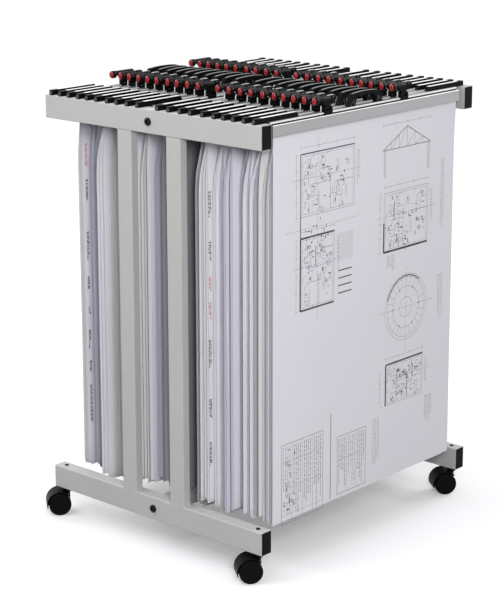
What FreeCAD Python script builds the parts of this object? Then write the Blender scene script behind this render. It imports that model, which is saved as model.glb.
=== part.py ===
import FreeCAD, Part
import os

import Sketcher
from FreeCAD import Placement, Rotation, Vector

# A mobile plan hanging rack. Millimetres, +Z up, +X along the end rails, +Y from the front end
# frame to the rear one. The origin is on the floor, midway between the end frames.

# Driving dimensions: each is a cell of the spreadsheet, and its name is the cell's alias.
DIMENSIONS = {
    "frame_width": 614,
    "frame_depth": 704,
    "rack_top": 946,
    "caster_height": 60,
    "rail_height": 50,
    "rail_depth": 30,
    "tube_wall": 1.5,
    "tube_corner": 2,
    "post_width": 40,
    "post_depth": 20,
    "post_offset": 70,
    "beam_width": 20,
    "beam_height": 40,
    "insert_length": 20,
    "bolt_radius": 4,
    "bolt_length": 46,
    "bolt_hole_radius": 4.2,
    "bolt_head_radius": 8.5,
    "bolt_head_height": 5,
    "bolt_socket_radius": 3,
    "bolt_socket_depth": 3,
    "bolt_rim_height": 2,
    "bolt_crown_radius": 5.1,
    "cap_depth": 12,
    "cap_shell": 2,
    "cap_proud": 0.8,
    "caster_inset": 22,
    "caster_trail": 18,
    "wheel_radius": 25,
    "wheel_inner_face": 6.5,
    "wheel_outer_face": 24.5,
    "wheel_edge_bevel": 1.5,
    "wheel_face_recess": 0.6,
    "wheel_face_rim": 5,
    "axle_radius": 3,
    "axle_half_length": 20,
    "stem_radius": 4,
    "stem_bottom": 30.5,
    "stem_end_gap": 0.5,
    "stem_plug_radius": 4.5,
    "stem_plug_height": 1.5,
    "collar_radius": 9,
    "collar_height": 3.5,
    "housing_top": 56,
    "hood_radius": 29.5,
    "hood_inner_radius": 27,
    "hood_width": 44,
    "web_thickness": 12,
    "axle_boss_radius": 7,
    "tower_radius": 9.5,
    "tower_bottom": 50.5,
    "tower_floor": 29,
    "running_gap": 0.05,
    "clamp_length": 690,
    "spine_inset": 35,
    "spine_left": -2,
    "spine_width": 14,
    "spine_wall": 1.6,
    "ridge_rise": 6,
    "ridge_setback": 0.5,
    "undercut_depth": 2.5,
    "undercut_height": 2.2,
    "jaw_drop": 4.4,
    "jaw_height": 24,
    "slot_width": 3,
    "outer_jaw_thickness": 4,
    "jaw_lip": 0.7,
    "jaw_lip_height": 3,
    "arm_width": 10,
    "arm_height": 11,
    "arm_reach": 130,
    "arm_slope": 6,
    "arm_bevel": 2,
    "fittings_ahead": 6,
    "lever_offset": 126.5,
    "lever_across": 8,
    "pivot_height": 6.4,
    "pin_radius": 2,
    "lever_stem_width": 23.5,
    "lever_neck_width": 18,
    "lever_shoulder": 7.5,
    "lever_thickness": 8,
    "flare_width": 38,
    "flare_top_drop": 4,
    "barrel_height": 30,
    "barrel_radius": 7.5,
    "barrel_front": 39,
    "barrel_back": 26,
    "barrel_collar_radius": 8.2,
    "barrel_collar_length": 9,
    "bracket_width": 10,
    "bracket_length": 26,
    "bracket_base": 2,
    "bracket_ear": 3.5,
    "bracket_ear_height": 10,
    "skirt_gap": 0.2,
    "skirt_thickness": 1.6,
    "skirt_clearance": 0.6,
    "red_cap_length": 3.5,
    "red_cap_bevel": 1,
    "handle_across": 4.5,
    "handle_length": 114,
    "handle_top_length": 94,
    "handle_opening": 70,
    "handle_opening_corner": 64,
    "handle_height": 27.5,
    "handle_bar": 8,
    "handle_width": 10,
    "handle_bevel": 5,
    "handle_corner_drop": 8,
    "handle_corner_run": 6,
    "sheet_width": 610,
    "sheet_pack": 2.9,
    "sheet_top_drop": 16.4,
    "sheet_length": 841,
}

# Angles in degrees: the direction that the casters trail in, from the rails, and the hood's ends
# round the axle, from its front.
CASTER_TURN = 51
HOOD_START = 45
HOOD_SWEEP = 150
WEB_MARGIN = 15

# How far a cutting tool runs past the faces that it cuts.
CUT_MARGIN = 1

# The cosine above which an edge counts as running along a tube.
NEARLY_PARALLEL = 0.99

# Where each clamp's hanger arms lie along the rails, from left to right.
CLAMP_PLACES = [
    -289.4, -262.0, -235.5, -207.0, -180.0, -152.0, -119.5, -92.0, -61.5, -31.0,
    25.5, 57.0, 88.8, 117.4, 150.0, 180.9, 206.8, 232.8, 260.8, 287.0,
]

# How much shorter than the full sheet length each clamp's bundle hangs.
SHEET_TRIMS = [6, 3, 9, 4, 7, 12, 16, 24, 22, 30, 24, 20, 6, 26, 12, 18, 34, 22, 30, 24]

# How far each bundle's front edge lies behind the full width's.
SHEET_SETBACKS = [32, 46, 38, 20, 0, 12, 0, 0, 6, 18, 0, 44, 16, 0, 9, 0, 14, 4, 0, 0]

document = FreeCAD.newDocument("PlanHangingRack")
table = document.addObject("Spreadsheet::Sheet", "Sizes")


class Size:
    """A length that carries its value and the spreadsheet expression that gives it."""

    def __init__(self, value, text):
        self.value = value
        self.text = text

    def __add__(self, other):
        other = as_size(other)
        return Size(self.value + other.value, f"({self.text} + {other.text})")

    def __sub__(self, other):
        other = as_size(other)
        return Size(self.value - other.value, f"({self.text} - {other.text})")

    def __mul__(self, factor):
        return Size(self.value * factor, f"({self.text} * {factor})")

    def __truediv__(self, factor):
        return Size(self.value / factor, f"({self.text} / {factor})")

    def __neg__(self):
        return self * -1

    def __radd__(self, other):
        return as_size(other) + self

    def __rsub__(self, other):
        return as_size(other) - self


def as_size(number):
    return number if isinstance(number, Size) else Size(number, str(number))


def cell(row, alias, value):
    """Writes one driving dimension into the spreadsheet and returns it as a Size."""
    table.set(f"A{row}", alias)
    table.set(f"B{row}", str(value))
    table.setAlias(f"B{row}", alias)
    return Size(value, f"Sizes.{alias}")


class Dimensions:
    """Every driving dimension, by name."""


def fill_table():
    sizes = Dimensions()
    row = 1
    for alias, value in DIMENSIONS.items():
        setattr(sizes, alias, cell(row, alias, value))
        row += 1
    for name, values in (
        ("clamp_place", CLAMP_PLACES),
        ("sheet_trim", SHEET_TRIMS),
        ("sheet_setback", SHEET_SETBACKS),
    ):
        cells = []
        for index, value in enumerate(values, 1):
            cells.append(cell(row, f"{name}_{index:02d}", value))
            row += 1
        setattr(sizes, name + "s", cells)
    document.recompute()
    return sizes


d = fill_table()


# ---------------------------------------------------------------- shape helpers


def bind(thing, name, size):
    """Sets a property to a Size, and binds it to the spreadsheet where it comes from there."""
    size = as_size(size)
    if "Sizes." in size.text:
        thing.setExpression(name, size.text)
    elif "." in name:
        base = thing.Placement.Base
        setattr(base, name[-1], size.value)
        thing.Placement = Placement(base, thing.Placement.Rotation)
    else:
        setattr(thing, name, size.value)


def place(thing, x, y, z, rotation=None):
    thing.Placement = Placement(Vector(0, 0, 0), rotation or Rotation())
    bind(thing, "Placement.Base.x", x)
    bind(thing, "Placement.Base.y", y)
    bind(thing, "Placement.Base.z", z)


ALONG = {
    "X": Rotation(Vector(0, 1, 0), 90),
    "Y": Rotation(Vector(1, 0, 0), -90),
    "Z": Rotation(),
}


def box(name, x_range, y_range, z_range):
    """A block between two planes on each axis."""
    block = document.addObject("Part::Box", name)
    for side, (low, high) in zip(("Length", "Width", "Height"), (x_range, y_range, z_range)):
        bind(block, side, as_size(high) - low)
    place(block, x_range[0], y_range[0], z_range[0])
    return block


def cylinder(name, axis, radius, length, x, y, z):
    """A cylinder that runs from its base point in the axis's positive direction."""
    rod = document.addObject("Part::Cylinder", name)
    bind(rod, "Radius", radius)
    bind(rod, "Height", length)
    place(rod, x, y, z, ALONG[axis])
    return rod


def cone(name, rotation, base_radius, end_radius, length, x, y, z):
    taper = document.addObject("Part::Cone", name)
    bind(taper, "Radius1", base_radius)
    bind(taper, "Radius2", end_radius)
    bind(taper, "Height", length)
    place(taper, x, y, z, rotation)
    return taper


def group(name, members):
    """Several solids as one object."""
    compound = document.addObject("Part::Compound", name)
    compound.Links = members
    return compound


def fuse(name, members):
    joined = document.addObject("Part::MultiFuse", name)
    joined.Shapes = members
    joined.Refine = True
    return joined


def cut(name, base, tools):
    result = document.addObject("Part::Cut", name)
    result.Base = base
    result.Tool = tools[0] if len(tools) == 1 else group(name + "_tools", tools)
    result.Refine = True
    return result


PLANE_ACROSS = {"X": "YZ_Plane", "Y": "XZ_Plane", "Z": "XY_Plane"}


def outline(body, plane_role, offset, loops, name):
    """A sketch of closed straight-sided loops, with every corner bound to its expression."""
    sketch = body.newObject("Sketcher::SketchObject", name)
    plane = next(o for o in body.Origin.OriginFeatures if o.Role == plane_role)
    sketch.AttachmentSupport = [(plane, "")]
    sketch.MapMode = "FlatFace"
    bind_offset(sketch, offset)
    for loop in loops:
        corners = [(as_size(across), as_size(up)) for across, up in loop]
        first = sketch.GeometryCount
        points = [Vector(across.value, up.value, 0) for across, up in corners]
        for start, end in zip(points, points[1:] + points[:1]):
            sketch.addGeometry(Part.LineSegment(start, end), False)
        count = len(corners)
        for index in range(count):
            following = first + (index + 1) % count
            sketch.addConstraint(
                Sketcher.Constraint("Coincident", first + index, 2, following, 1)
            )
        for index, corner in enumerate(corners):
            for kind, size in zip(("DistanceX", "DistanceY"), corner):
                number = sketch.addConstraint(
                    Sketcher.Constraint(kind, -1, 1, first + index, 1, size.value)
                )
                if "Sizes." in size.text:
                    sketch.setExpression(f"Constraints[{number}]", size.text)
    return sketch


def bind_offset(sketch, offset):
    offset = as_size(offset)
    sketch.AttachmentOffset = Placement(Vector(0, 0, offset.value), Rotation())
    if "Sizes." in offset.text:
        sketch.setExpression("AttachmentOffset.Base.z", offset.text)


def extrusion(name, axis, start, end, loops):
    """A body with the given outline, extruded along an axis from start to end.

    The outline is in (Y, Z) for X, in (X, Z) for Y and in (X, Y) for Z.
    """
    start, end = as_size(start), as_size(end)
    body = document.addObject("PartDesign::Body", name)
    flipped = axis == "Y"  # the XZ plane faces -Y
    offset = -start if flipped else start
    sketch = outline(body, PLANE_ACROSS[axis], offset, loops, name + "_outline")
    pad = body.newObject("PartDesign::Pad", name + "_pad")
    pad.Profile = sketch
    pad.Reversed = flipped
    bind(pad, "Length", end - start)
    return body


def rectangle(low_across, high_across, low_up, high_up):
    return [
        (low_across, low_up),
        (high_across, low_up),
        (high_across, high_up),
        (low_across, high_up),
    ]


def tube(name, axis, start, end, across, up, wall):
    """A rectangular tube along an axis, with rounded outer corners. across and up are ranges."""
    body = extrusion(name, axis, start, end, [rectangle(*across, *up)])
    document.recompute()
    pad = body.Tip
    direction = ALONG[axis].multVec(Vector(0, 0, 1))
    long_edges = [
        f"Edge{number}"
        for number, edge in enumerate(pad.Shape.Edges, 1)
        if abs(edge.tangentAt(edge.FirstParameter).dot(direction)) > NEARLY_PARALLEL
    ]
    rounding = body.newObject("PartDesign::Fillet", name + "_corners")
    rounding.Base = (pad, long_edges)
    bind(rounding, "Radius", d.tube_corner)
    flipped = axis == "Y"
    offset = -as_size(start) if flipped else start
    inner = rectangle(across[0] + wall, across[1] - wall, up[0] + wall, up[1] - wall)
    sketch = outline(body, PLANE_ACROSS[axis], offset, [inner], name + "_bore_outline")
    bore = body.newObject("PartDesign::Pocket", name + "_bore")
    bore.Profile = sketch
    bore.Reversed = not flipped
    bind(bore, "Length", as_size(end) - start)
    return body


NODES = []


def node(name, members, x=0):
    """A named sub-part: one or more separate solids, moved along X to its place."""
    compound = group("node_" + name, members)
    compound.Label = name
    bind(compound, "Placement.Base.x", x)
    NODES.append(compound)
    return compound


# ---------------------------------------------------------------- heights and planes

front = -d.frame_depth / 2
right = d.frame_width / 2
upper_rail = (d.rack_top - d.rail_height, d.rack_top)
lower_rail = (d.caster_height, d.caster_height + d.rail_height)
upper_middle = d.rack_top - d.rail_height / 2
lower_middle = d.caster_height + d.rail_height / 2
caster_along = right - d.caster_inset
caster_back = d.frame_depth / 2 - d.rail_depth / 2


def outward(side, depth):
    """The range of Y that a piece of this depth takes, flush with the front or rear face."""
    outer = -front * side
    inner = (-front - depth) * side
    return (outer, inner) if side < 0 else (inner, outer)


# ---------------------------------------------------------------- end frames and beams


def end_frame(name, side):
    """Two rails and two posts, welded. The posts are flush with the rails' outer faces."""
    rail_y = outward(side, d.rail_depth)
    bolt_start = rail_y[0] - CUT_MARGIN
    through = d.rail_depth + 2 * CUT_MARGIN
    rails = []
    for level, z_range, middle in (
        ("top", upper_rail, upper_middle),
        ("bottom", lower_rail, lower_middle),
    ):
        rail = tube(f"{name}_{level}_rail", "X", -right, right, rail_y, z_range, d.tube_wall)
        holes = [
            cylinder(f"{name}_{level}_bolt_hole", "Y", d.bolt_hole_radius, through,
                     0, bolt_start, middle)
        ]
        if level == "bottom":
            for sign in (-1, 1):
                holes.append(
                    cylinder(f"{name}_stem_hole", "Z", d.bolt_hole_radius,
                             d.rail_height + 2 * CUT_MARGIN, caster_along * sign,
                             caster_back * side, z_range[0] - CUT_MARGIN)
                )
        rails.append(cut(f"{name}_{level}_rail_drilled", rail, holes))
    posts = []
    for sign in (-1, 1):
        middle = d.post_offset * sign
        half = d.post_width / 2
        posts.append(
            tube(f"{name}_post", "Z", lower_rail[1], upper_rail[0],
                 (middle - half, middle + half), outward(side, d.post_depth), d.tube_wall)
        )
    node(name, rails + posts)


def beams():
    """The two tubes that hold the end frames apart, and the threaded inserts in their ends."""
    reach = d.frame_depth / 2 - d.rail_depth
    half_width = d.beam_width / 2
    half_height = d.beam_height / 2
    inserts = []
    for name, middle in (("top_beam", upper_middle), ("bottom_beam", lower_middle)):
        across = (-half_width, half_width)
        up = (middle - half_height, middle + half_height)
        shell = tube(f"{name}_tube", "Y", -reach, reach, across, up, d.tube_wall)
        node(name, [shell])
        for side in (-1, 1):
            start = -reach if side < 0 else reach - d.insert_length
            block = box(
                f"{name}_insert_block",
                (across[0] + d.tube_wall, across[1] - d.tube_wall),
                (start, start + d.insert_length),
                (up[0] + d.tube_wall, up[1] - d.tube_wall),
            )
            thread = cylinder(f"{name}_insert_thread", "Y", d.bolt_radius,
                              d.insert_length + 2 * CUT_MARGIN, 0, start - CUT_MARGIN, middle)
            inserts.append(cut(f"{name}_insert", block, [thread]))
    node("beam_end_inserts", inserts)


def beam_bolts():
    """Dome-head socket bolts through the rails into the beams."""
    bolts = []
    for side in (-1, 1):
        face = -front * side
        outwards = Rotation(Vector(1, 0, 0), -90 * side)
        for middle in (upper_middle, lower_middle):
            inner_end = face if side < 0 else face - d.bolt_length
            shank = cylinder("bolt_shank", "Y", d.bolt_radius, d.bolt_length,
                             0, inner_end, middle)
            rim = cone("bolt_rim", outwards, d.bolt_head_radius, d.bolt_head_radius,
                       d.bolt_rim_height, 0, face, middle)
            dome = cone("bolt_dome", outwards, d.bolt_head_radius, d.bolt_crown_radius,
                        d.bolt_head_height - d.bolt_rim_height, 0,
                        face + d.bolt_rim_height * side, middle)
            socket = document.addObject("Part::Prism", "bolt_socket")
            socket.Polygon = 6
            bind(socket, "Circumradius", d.bolt_socket_radius)
            bind(socket, "Height", d.bolt_socket_depth + CUT_MARGIN)
            place(socket, 0, face + (d.bolt_head_height - d.bolt_socket_depth) * side,
                  middle, outwards)
            head = fuse("bolt_blank", [shank, rim, dome])
            bolts.append(cut("bolt", head, [socket]))
    node("beam_bolts", bolts)


def tube_end_caps():
    """Hollow plugs in the eight open rail ends, a little proud of the metal."""
    caps = []
    for side in (-1, 1):
        rail_y = outward(side, d.rail_depth)
        y_range = (rail_y[0] + d.tube_wall, rail_y[1] - d.tube_wall)
        for low, high in (upper_rail, lower_rail):
            z_range = (low + d.tube_wall, high - d.tube_wall)
            for end in (-1, 1):
                outer = (right + d.cap_proud) * end
                inner = (right - d.cap_depth) * end
                lid = (right - d.cap_shell) * end
                block = box("cap_block", (min_of(inner, outer), max_of(inner, outer)),
                            y_range, z_range)
                mouth = inner - CUT_MARGIN * end
                hollow = box(
                    "cap_hollow",
                    (min_of(mouth, lid), max_of(mouth, lid)),
                    (y_range[0] + d.cap_shell, y_range[1] - d.cap_shell),
                    (z_range[0] + d.cap_shell, z_range[1] - d.cap_shell),
                )
                caps.append(cut("cap", block, [hollow]))
    node("tube_end_caps", caps)


def min_of(one, other):
    return one if one.value < other.value else other


def max_of(one, other):
    return other if one.value < other.value else one


# ---------------------------------------------------------------- casters


def caster_stems():
    """The fixed stems, with a collar under the rail and a plug in its top wall."""
    stems = []
    for side in (-1, 1):
        for end in (-1, 1):
            x = caster_along * end
            y = caster_back * side
            shaft = cylinder("stem_shaft", "Z", d.stem_radius, lower_rail[1] - d.stem_bottom,
                             x, y, d.stem_bottom)
            collar = cylinder("stem_collar", "Z", d.collar_radius, d.collar_height,
                              x, y, d.caster_height - d.collar_height)
            plug = cylinder("stem_plug", "Z", d.stem_plug_radius, d.stem_plug_height,
                            x, y, lower_rail[1])
            stems.append(fuse("stem", [shaft, collar, plug]))
    node("caster_stems", stems)


def sector(name, radius, width, start_angle, sweep):
    """Part of a disc round the axle, seen along Y, that starts at an angle above +X."""
    wedge = document.addObject("Part::Cylinder", name)
    bind(wedge, "Radius", radius)
    bind(wedge, "Height", width)
    wedge.Angle = sweep
    turned = Rotation(Vector(0, 1, 0), -start_angle).multiply(Rotation(Vector(1, 0, 0), 90))
    place(wedge, -d.caster_trail, width / 2, d.wheel_radius, turned)
    return wedge


def caster_housing():
    """A web between the wheels, a hood over them and a tower that turns on the stem."""
    shell = sector("hood_outer", d.hood_radius, d.hood_width, HOOD_START, HOOD_SWEEP)
    space = cylinder("hood_inner", "Y", d.hood_inner_radius, d.hood_width + 2 * CUT_MARGIN,
                     -d.caster_trail, -d.hood_width / 2 - CUT_MARGIN, d.wheel_radius)
    hood = cut("hood", shell, [space])
    web = sector("web", d.hood_inner_radius + CUT_MARGIN, d.web_thickness,
                 HOOD_START - WEB_MARGIN, HOOD_SWEEP + WEB_MARGIN)
    boss = cylinder("axle_boss", "Y", d.axle_boss_radius, d.web_thickness,
                    -d.caster_trail, -d.web_thickness / 2, d.wheel_radius)
    narrow = cylinder("tower_narrow", "Z", d.web_thickness / 2,
                      d.tower_bottom - d.tower_floor + CUT_MARGIN, 0, 0, d.tower_floor)
    wide = cylinder("tower_wide", "Z", d.tower_radius, d.housing_top - d.tower_bottom,
                    0, 0, d.tower_bottom)
    blank = fuse("housing_blank", [hood, web, boss, narrow, wide])
    axle_bore = cylinder("axle_bore", "Y", d.axle_radius + d.running_gap,
                         d.web_thickness + 2 * CUT_MARGIN, -d.caster_trail,
                         -d.web_thickness / 2 - CUT_MARGIN, d.wheel_radius)
    stem_bore = cylinder("stem_bore", "Z", d.stem_radius + d.running_gap,
                         d.housing_top - d.stem_bottom + 2 * CUT_MARGIN,
                         0, 0, d.stem_bottom - d.stem_end_gap)
    return cut("housing", blank, [axle_bore, stem_bore])


def caster_wheel(side):
    """One wheel: a bevelled tread and a face recessed inside a rim, on a blind axle bore."""
    tread, bevel = d.wheel_radius, d.wheel_edge_bevel
    inner, outer = d.wheel_inner_face, d.wheel_outer_face
    recess = d.wheel_face_recess
    rim_edge = tread - d.wheel_face_rim
    half_section = [
        (d.axle_radius, inner),
        (tread - bevel, inner),
        (tread, inner + bevel),
        (tread, outer - bevel * 2),
        (tread - bevel, outer - recess),
        (rim_edge, outer),
        (rim_edge - recess, outer - recess),
        (0, outer - recess),
        (0, d.axle_half_length),
        (d.axle_radius, d.axle_half_length),
    ]
    body = document.addObject("PartDesign::Body", "wheel")
    loop = [(radius, as_size(along) * side) for radius, along in half_section]
    sketch = outline(body, "XY_Plane", 0, [loop], "wheel_section")
    turn = body.newObject("PartDesign::Revolution", "wheel_turn")
    turn.Profile = sketch
    turn.ReferenceAxis = (sketch, ["V_Axis"])
    turn.Angle = 360
    place(body, -d.caster_trail, 0, d.wheel_radius)
    return body


def casters():
    """Four casters, all trailing the same way. Each is modelled about its stem and moved there."""
    housing = caster_housing()
    axle = cylinder("axle", "Y", d.axle_radius, d.axle_half_length * 2,
                    -d.caster_trail, -d.axle_half_length, d.wheel_radius)
    wheels = [caster_wheel(1), caster_wheel(-1), axle]
    for side, depth_word in ((-1, "front"), (1, "rear")):
        for end, end_word in ((-1, "left"), (1, "right")):
            corner = f"{depth_word}_{end_word}"
            for name, members in (
                (f"caster_housing_{corner}", [housing]),
                (f"caster_wheels_{corner}", wheels),
            ):
                piece = node(name, members)
                place(piece, caster_along * end, caster_back * side, 0,
                      Rotation(Vector(0, 0, 1), CASTER_TURN))


# ---------------------------------------------------------------- one plan clamp, at X = 0

clamp_front = front
clamp_back = front + d.clamp_length
clamp_middle = front + d.clamp_length / 2
fittings_middle = clamp_middle - d.fittings_ahead
spine_y = (clamp_front + d.spine_inset, clamp_back - d.spine_inset)
jaw_top = d.rack_top - d.jaw_drop
jaw_bottom = jaw_top - d.jaw_height
ridge_top = jaw_top + d.ridge_rise
spine_right = d.spine_left + d.spine_width
outer_jaw_left = spine_right + d.slot_width
outer_jaw_right = outer_jaw_left + d.outer_jaw_thickness


def clamp_spine():
    """The inner half of the jaw: a hollow profile with a ridge that stands above the outer half."""
    left, wall = d.spine_left, d.spine_wall
    side = spine_right - d.ridge_setback
    neck = spine_right - d.undercut_depth
    overhang = jaw_top + d.undercut_height
    outer = [
        (left, jaw_bottom),
        (spine_right, jaw_bottom),
        (spine_right, jaw_top),
        (neck, jaw_top),
        (neck, overhang),
        (side, overhang),
        (side, ridge_top),
        (left, ridge_top),
    ]
    inner = [
        (left + wall, jaw_bottom + wall),
        (spine_right - wall, jaw_bottom + wall),
        (spine_right - wall, jaw_top - wall),
        (neck - wall, jaw_top - wall),
        (neck - wall, ridge_top - wall),
        (left + wall, ridge_top - wall),
    ]
    return extrusion("spine", "Y", *spine_y, [outer, inner])


def clamp_outer_jaw():
    """A plate with a gripping lip along its top and bottom edges."""
    web = outer_jaw_left + d.jaw_lip
    loop = [
        (outer_jaw_left, jaw_bottom),
        (outer_jaw_right, jaw_bottom),
        (outer_jaw_right, jaw_top),
        (outer_jaw_left, jaw_top),
        (outer_jaw_left, jaw_top - d.jaw_lip_height),
        (web, jaw_top - d.jaw_lip_height),
        (web, jaw_bottom + d.jaw_lip_height),
        (outer_jaw_left, jaw_bottom + d.jaw_lip_height),
    ]
    return extrusion("outer_jaw", "Y", *spine_y, [loop])


def hanger_arm(name, side):
    """A bar that rests on the rail and on the spine's ridge behind it."""
    tip = clamp_front if side < 0 else clamp_back
    inward = -side
    top = d.rack_top + d.arm_height
    step = tip + d.spine_inset * inward
    end = tip + d.arm_reach * inward
    loop = [
        (tip, d.rack_top),
        (tip, top - d.arm_bevel),
        (tip + d.arm_bevel * inward, top),
        (end - d.arm_slope * inward, top),
        (end, ridge_top),
        (step, ridge_top),
        (step, d.rack_top),
    ]
    half = d.arm_width / 2
    return extrusion(name, "X", -half, half, [loop])


def lever_bracket(name, y, pin_bore):
    """Two ears on a base, with a skirt over the slot between the jaw's halves."""
    x = d.lever_across
    half_width, half_length = d.bracket_width / 2, d.bracket_length / 2
    skirt_inner = spine_right + d.skirt_gap
    skirt_outer = skirt_inner + d.skirt_thickness
    base_top = ridge_top + d.bracket_base
    y_range = (y - half_length, y + half_length)
    members = [
        box(f"{name}_base", (x - half_width, skirt_outer), y_range, (ridge_top, base_top)),
        box(f"{name}_skirt", (skirt_inner, skirt_outer), y_range,
            (jaw_top + d.skirt_clearance, base_top)),
    ]
    for low in (y - half_length, y + half_length - d.bracket_ear):
        members.append(
            box(f"{name}_ear", (x - half_width, x + half_width), (low, low + d.bracket_ear),
                (base_top, ridge_top + d.bracket_ear_height))
        )
    return cut(f"{name}_bracket", fuse(f"{name}_bracket_blank", members), [pin_bore])


def t_lever(name, y, pivot, barrel_axis, pin_bore):
    """A neck between the bracket's ears, a stem that flares, and a barrel with a collar."""
    x = d.lever_across
    half_thickness = d.lever_thickness / 2
    half_neck, half_stem = d.lever_neck_width / 2, d.lever_stem_width / 2
    half_flare = d.flare_width / 2
    shoulder = pivot + d.lever_shoulder
    flare_top = barrel_axis - d.flare_top_drop
    neck = box(f"{name}_neck", (x - half_thickness, x + half_thickness),
               (y - half_neck, y + half_neck), (pivot, shoulder + CUT_MARGIN))
    foot = cylinder(f"{name}_foot", "Y", half_thickness, d.lever_neck_width,
                    x, y - half_neck, pivot)
    loop = [
        (y - half_stem, shoulder),
        (y + half_stem, shoulder),
        (y + half_flare, flare_top),
        (y - half_flare, flare_top),
    ]
    stem = extrusion(f"{name}_stem", "X", x - half_thickness, x + half_thickness, [loop])
    barrel = cylinder(f"{name}_barrel", "Y", d.barrel_radius, d.barrel_front + d.barrel_back,
                      x, y - d.barrel_front, barrel_axis)
    collar = cylinder(f"{name}_collar", "Y", d.barrel_collar_radius, d.barrel_collar_length,
                      x, y - d.barrel_front, barrel_axis)
    blank = fuse(f"{name}_blank", [neck, foot, stem, barrel, collar])
    return cut(f"{name}_lever", blank, [pin_bore])


def lever_parts(name, side):
    """A bracket and its pin, a T-lever that turns on the pin, and the lever's red end cap."""
    x = d.lever_across
    y = fittings_middle + d.lever_offset * side
    pivot = ridge_top + d.pivot_height
    barrel_axis = jaw_top + d.barrel_height
    pin_start = y - d.bracket_length / 2
    pin_bore = cylinder(f"{name}_pin_bore", "Y", d.pin_radius + d.running_gap,
                        d.bracket_length + 2 * CUT_MARGIN, x, pin_start - CUT_MARGIN, pivot)
    pin = cylinder(f"{name}_pin", "Y", d.pin_radius, d.bracket_length, x, pin_start, pivot)
    bracket = lever_bracket(name, y, pin_bore)
    lever = t_lever(name, y, pivot, barrel_axis, pin_bore)

    forwards = Rotation(Vector(1, 0, 0), 90)
    radius = d.barrel_collar_radius
    cap_start = y - d.barrel_front
    cap_body = d.red_cap_length - d.red_cap_bevel
    drum = cone(f"{name}_cap_drum", forwards, radius, radius, cap_body,
                x, cap_start, barrel_axis)
    nose = cone(f"{name}_cap_nose", forwards, radius, radius - d.red_cap_bevel,
                d.red_cap_bevel, x, cap_start - cap_body, barrel_axis)
    red_cap = fuse(f"{name}_cap", [drum, nose])
    return bracket, pin, lever, red_cap


def carry_handle():
    """A flat arched handle on two gusset legs."""
    y, base = fittings_middle, ridge_top
    top = base + d.handle_height
    under = top - d.handle_bar
    foot, crest = d.handle_length / 2, d.handle_top_length / 2
    gap, corner = d.handle_opening / 2, d.handle_opening_corner / 2
    drop, run = d.handle_corner_drop, d.handle_corner_run
    loop = [
        (y - foot, base),
        (y - gap, base),
        (y - corner, under - drop),
        (y - corner + run, under),
        (y + corner - run, under),
        (y + corner, under - drop),
        (y + gap, base),
        (y + foot, base),
        (y + crest, top - d.handle_bevel),
        (y + crest - d.handle_bevel, top),
        (y - crest + d.handle_bevel, top),
        (y - crest, top - d.handle_bevel),
    ]
    half = d.handle_width / 2
    return extrusion("handle", "X", d.handle_across - half, d.handle_across + half, [loop])


def sheet_bundle(number, place_along, trim, setback):
    top = d.rack_top - d.sheet_top_drop
    slack = (d.slot_width - d.sheet_pack) / 2
    low = spine_right + slack
    half = d.sheet_width / 2
    slab = box(
        f"bundle_{number:02d}",
        (low, low + d.sheet_pack),
        (clamp_middle - half + setback, clamp_middle + half),
        (top - d.sheet_length + trim, top),
    )
    node(f"sheets_{number:02d}", [slab], place_along)


def clamps():
    """Twenty clamps with their sheets. The last one's loose jaw and levers are their own parts."""
    spine = clamp_spine()
    outer_jaw = clamp_outer_jaw()
    arms = [hanger_arm("front_arm", -1), hanger_arm("rear_arm", 1)]
    levers = {"front": lever_parts("front", -1), "rear": lever_parts("rear", 1)}
    handle = carry_handle()
    fixed = [spine, *arms, handle]
    moving = [outer_jaw]
    for bracket, pin, lever, red_cap in levers.values():
        fixed += [bracket, pin]
        moving += [lever, red_cap]
    last = len(d.clamp_places)
    rows = zip(d.clamp_places, d.sheet_trims, d.sheet_setbacks)
    for number, (along, trim, setback) in enumerate(rows, 1):
        name = f"clamp_{number:02d}"
        node(name, fixed if number == last else fixed + moving, along)
        sheet_bundle(number, along, trim, setback)
    node(f"clamp_{last}_outer_jaw", [outer_jaw], along)
    for word, (_, _, lever, red_cap) in levers.items():
        node(f"clamp_{last}_lever_{word}", [lever, red_cap], along)


# ---------------------------------------------------------------- the whole rack


def check_and_export():
    document.recompute()
    for thing in document.Objects:
        if "Invalid" in thing.State or "Error" in thing.State:
            raise RuntimeError(f"{thing.Label} failed: {thing.State}")
    os.makedirs("parts", exist_ok=True)
    for piece in NODES:
        if piece.Shape.isNull() or not piece.Shape.isValid():
            raise RuntimeError(f"{piece.Label} has no valid shape")
        piece.Shape.exportStep(f"parts/{piece.Label}.step")
        bounds = piece.Shape.BoundBox
        print(
            f"{piece.Label}: {len(piece.Shape.Solids)} solids,"
            f" {bounds.XLength:.1f} x {bounds.YLength:.1f} x {bounds.ZLength:.1f},"
            f" {piece.Shape.Volume / 1000:.1f} cm3"
        )


end_frame("front_end_frame", -1)
end_frame("rear_end_frame", 1)
beams()
beam_bolts()
tube_end_caps()
caster_stems()
casters()
clamps()
check_and_export()
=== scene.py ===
"""The looks of a mobile plan hanging rack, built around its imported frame.

Shapes are written in millimetres in the frame's own axes (+Z up, +X along the end rails, +Y from
the front end frame to the rear one) and become metres where a mesh is made.
"""

import random
from dataclasses import dataclass
from itertools import product
from math import cos, pi, radians, sin, sqrt

import bmesh
import bpy
from mathutils import Matrix, Vector, noise


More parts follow.
